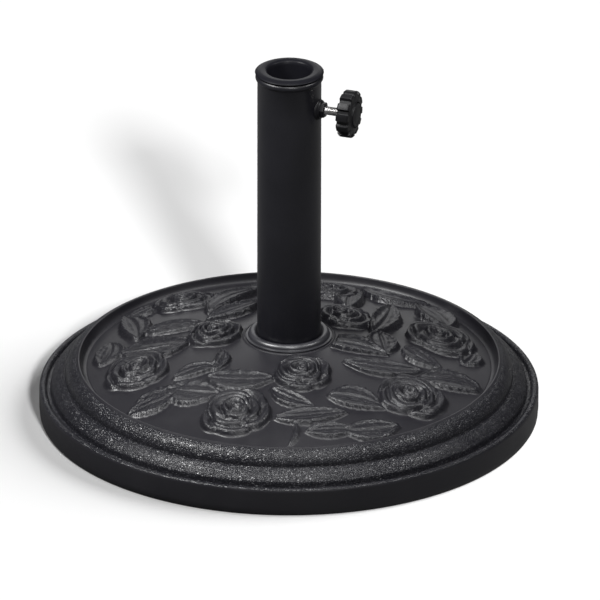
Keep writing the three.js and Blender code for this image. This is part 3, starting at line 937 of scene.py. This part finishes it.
def foot_collar():
    low = COLLAR_LOW
    bore = TUBE_R + TUBE_GAP
    outline = [(bore, low), (COLLAR_R - 0.3, low), (COLLAR_R, low + 0.3), (COLLAR_R - 0.2, low + 0.8),
               (37.4, low + 1.1), *arc(COLLAR_ROUND_R, low + 1.5, COLLAR_ROUND, 0, 150, 18),
               (bore, low + 3.0)]
    collar = turned("foot_collar_ring", outline, COLLAR_PLASTIC_PAINTED_LIGHT, steps=128)
    fit(collar, "collar", "foot_collar", "foot_collar")


def adapter_sleeve():
    skirt = TUBE_BORE - 0.4
    low = SLEEVE_LOW.z
    seat = TUBE_TOP + 0.3
    flange = SLEEVE_HIGH.x
    top = SLEEVE_HIGH.z
    wall = 2.2
    outline = [(POLE_R, low), (POLE_R + wall, low), (POLE_R + wall, seat - 2), (skirt - wall, seat - 2),
               (skirt - wall, low), (skirt, low), (skirt, seat), (flange - 0.4, seat),
               (flange, seat + 0.4), (flange, top - 2.2),
               *curve_through([(flange - 0.2, top - 1.9), (29.2, top - 0.9), (26.4, top), (25, top)], 3),
               *curve_through([(22.4, top - 0.1), (20.6, top - 1.2), (POLE_R + 0.1, top - 3.6)], 4)]
    ring = turned("sleeve", outline, SLEEVE_PLASTIC_PAINTED_SHADE, steps=128)
    web = bar("web", POLE_R + 1.4, skirt - 1.4, 0.8, low + 0.2, seat - 0.6)
    webs = in_a_ring(web, 8, 0.0, 0.0, SLEEVE_PLASTIC_PAINTED_SHADE)
    sleeve = paint(joined("reducing_sleeve", [ring, webs]), SLEEVE_PLASTIC_PAINTED_SHADE)
    fit(sleeve, "sleeve", "adapter_sleeve", "adapter_sleeve")


# --- clamp -------------------------------------------------------------------

def weld_nut():
    nut = prism("nut", hexagon(HEX_ACROSS), TUBE_R - 0.5, NUT_FACE, 0.7)
    disc = [(0, TUBE_R - 1.4), (FLANGE_R, TUBE_R - 1.4), (FLANGE_R, TUBE_R + 1.4),
            (FLANGE_R - 0.6, TUBE_R + 2.2), (0, TUBE_R + 2.2)]
    flange = turned("flange", disc, NUT_PAINT_PAINTED_SHADE, 48)
    fillet = [(7, TUBE_R - 1.2), (10.4, TUBE_R - 1.6), (9.9, TUBE_R - 0.4), (9.2, TUBE_R + 0.6),
              (8.4, TUBE_R + 1.0)]
    weld = turned("weld", fillet, NUT_PAINT_PAINTED_SHADE, 48)
    nut = drilled(along_clamp(joined("weld_nut_visual", [nut, flange, weld])))
    fit(paint(nut, NUT_PAINT_PAINTED_SHADE), "base", "weld_nut", "weld_nut")


def clamp_screw():
    tip = SHANK_FROM
    start = tip + 1
    steps = int((THREAD_TO - tip) / THREAD_PITCH * 8)
    threaded = [(SCREW_R, start + (THREAD_TO - start) * i / steps) for i in range(steps + 1)]
    outline = [(0, tip), (SCREW_R - 0.8, tip), *threaded, (SCREW_R, SHANK_TO), (0, SHANK_TO)]
    shank = turned("shank", outline, ZINC, 40, sharp=50.0)
    values = {"Pitch": THREAD_PITCH * MM, "Depth": THREAD_DEPTH, "From": start * MM, "To": THREAD_TO * MM,
              "Material": ZINC}
    shank = tidy(run_tree(shank, THREAD, values), 40.0)
    head = prism("head", hexagon(HEX_ACROSS), HEX_FROM, HEX_TO, 0.5)
    screw = along_clamp(joined("clamp_screw_visual", [shank, head]))
    fit(paint(screw, ZINC), "clamp", "clamp_screw", "clamp_screw")


def with_points_between(outline, gap):
    """The same outline, with points added along each stretch that is twice the gap or longer."""
    out = []
    for (r1, z1), (r2, z2) in zip(outline, outline[1:]):
        count = max(1, int(math.dist((r1, z1), (r2, z2)) / gap))
        out += [(r1 + (r2 - r1) * k / count, z1 + (z2 - z1) * k / count) for k in range(count)]
    return [*out, outline[-1]]


def clamp_knob():
    back, face, rim, core = KNOB_BACK, KNOB_FACE, KNOB_R, KNOB_CORE
    bore, socket = 4.3, 7.8
    outline = [(bore, back + 0.4), (4.7, back), (8.6, back), (9.2, back + 0.6), (9.8, back + 1.6),
               (core, back + 1.8), *arc(rim - 2.4, back + 4.3, 2.4, -80, 0, 6),
               *arc(rim - 2.2, face - 3.4, 2.2, 0, 82, 6), (core, face - 1.0), (13.2, face - 0.5),
               *arc(12.6, face - 0.8, 0.8, 60, 180, 5), (11.4, face - 1.8), (socket, face - 1.8),
               (socket, 57.0), (bore, 57.0)]
    knob = turned("knob", with_points_between(outline, 1.2), KNOB_PLASTIC, 240)
    values = {"Lobes": KNOB_LOBES, "Depth": GRIP_DEPTH, "Core Radius": core * MM,
              "Rim Radius": GRIP_FULL_R * MM, "Material": KNOB_PLASTIC}
    knob = tidy(run_tree(knob, GRIP, values), 40.0)
    fit(paint(along_clamp(knob), KNOB_PLASTIC), "clamp", "clamp_knob", "clamp_knob")
    knob.name = "star_knob"
    disc = [(0, 63.0), (11, 63.0), (11, 64.5), (10.7, 65.0), (10.0, 65.3), (8.6, 65.4), (8.0, 65.1),
            (7.4, 65.3), (3.5, 65.7), (0, 65.8)]
    cap = turned("knob_face_cap", disc, KNOB_PLASTIC, 64)
    fit(along_clamp(cap), "clamp", "clamp_knob", "knob_cap")


def screw_tip():
    outline = [(0, 25.5), (2.4, 25.5), (2.9, 25.7), (3.3, 26.2), (3.3, 27.6), (1.4, 27.8), (1.4, 32),
               (0, 32)]
    fit(along_clamp(turned("nylon_tip", outline, NYLON, 32)), "pad", "screw_tip", "screw_tip")


base_shell()
bottom_tray()
rubber_feet()
cover_screws()
inner_pieces()
stand_tube()
foot_collar()
adapter_sleeve()
weld_nut()
clamp_screw()
clamp_knob()
screw_tip()


# --- stage, light and camera -------------------------------------------------

# Softboxes: name, place, width, depth, power, and what it points at unless the centre of the floor
SOFTBOXES = [
    ("left_top", (-1.15, -0.35, 1.7), 0.5, 0.5, 46),
    ("front_top", (0.1, -1.1, 1.75), 0.6, 0.3, 18),
    ("top", (0.06, -0.25, 2.2), 0.5, 0.3, 10),
    ("right_top", (1.2, -0.15, 1.55), 0.4, 0.4, 12),
    ("key", (0.59, -2.47, 1.7), 0.16, 0.16, 12),
    ("backdrop", (0.05, 2.4, 1.15), 1.5, 1.6, 8.5, (0, 0, 0.1)),
]

# The floor to the camera, and a darker one to everything it reflects in
FLOOR_SEEN = (0.8, 0.8, 0.8, 1)
FLOOR_REFLECTED = (0.19, 0.19, 0.19, 1)
FLOOR_REACH = 8


def stage():
    reach = FLOOR_REACH
    corners = [(-reach, -reach, 0), (reach, -reach, 0), (reach, reach, 0), (-reach, reach, 0)]
    floor = new_object("floor", corners, [(0, 1, 2, 3)])
    made, tree, shader = new_material("floor_white")
    seen = add_node(tree, "ShaderNodeLightPath").outputs["Is Camera Ray"]
    colour = mix_colours(tree, seen, FLOOR_REFLECTED, FLOOR_SEEN)
    tree.links.new(colour, shader.inputs["Base Color"])
    tree.links.new(mix_colours(tree, seen, (0, 0, 0, 1), (1, 1, 1, 1)), shader.inputs["Emission Color"])
    shader.inputs["Emission Strength"].default_value = 0.12
    shader.inputs["Roughness"].default_value = 0.9
    shader.inputs["Specular IOR Level"].default_value = 0.0
    paint(floor, made)


def listed(name, members, state="INCLUDE"):
    """A collection for a light to reach, or with EXCLUDE to pass by."""
    made = bpy.data.collections.new(name)
    for obj in members:
        made.objects.link(obj)
    for entry in made.collection_objects:
        entry.light_linking.link_state = state
    return made


def add_light(name, kind, place, target=(0, 0, 0), **settings):
    light = bpy.data.lights.new(name, kind)
    for key, value in settings.items():
        setattr(light, key, value)
    obj = placed_in_scene(name, light)
    obj.location = place
    obj.rotation_euler = (Vector(target) - Vector(place)).to_track_quat("-Z", "Y").to_euler()
    return obj


def softbox(name, place, width, depth, power, target=(0, 0, 0)):
    """A panel light for the object alone: the floor has lights of its own."""
    made = add_light(name, "AREA", place, target, shape="RECTANGLE", size=width, size_y=depth,
                     energy=power)
    made.light_linking.receiver_collection = bpy.data.collections["all_but_floor"]


def studio():
    world = bpy.data.worlds.new("studio")
    bpy.context.scene.world = world
    world.use_nodes = True
    background = world.node_tree.nodes["Background"]
    background.inputs["Color"].default_value = (1, 1, 1, 1)
    background.inputs["Strength"].default_value = 0.04
    floor = bpy.data.objects["floor"]
    listed("all_but_floor", [floor], "EXCLUDE")
    for box in SOFTBOXES:
        softbox(*box)
    # On the floor: one sun for the tube's long shadow, one for soft shade close round the base
    only_floor = listed("only_floor", [floor])
    sun = add_light("floor_sun", "SUN", (0.147, -0.617, 0.34), energy=3.05, angle=math.radians(6))
    glow = add_light("floor_glow", "SUN", (0.95, 0.1, 0.6), energy=3.9, angle=math.radians(60))
    for light in (sun, glow):
        light.light_linking.receiver_collection = only_floor
    shell = [bpy.data.objects[name] for name in ("shell_rim", "rose_panel")]
    glow.light_linking.blocker_collection = listed("low_forms", shell)
    view = bpy.context.scene.view_settings
    view.view_transform = "Standard"
    view.look = "None"


def camera():
    data = bpy.data.cameras.new("camera")
    data.lens = 965.37
    data.sensor_width = 36.0
    data.clip_end = 200.0
    obj = placed_in_scene("camera", data)
    pitch = math.radians(24.465)
    roll = 0.0018
    place = Matrix.Translation((0.00996, -13.3129, 6.1685))
    tilt = Matrix.Rotation(math.pi / 2 - pitch, 4, "X")
    obj.matrix_world = place @ tilt @ Matrix.Rotation(roll, 4, "Z")
    bpy.context.scene.camera = obj


stage()
studio()
camera()
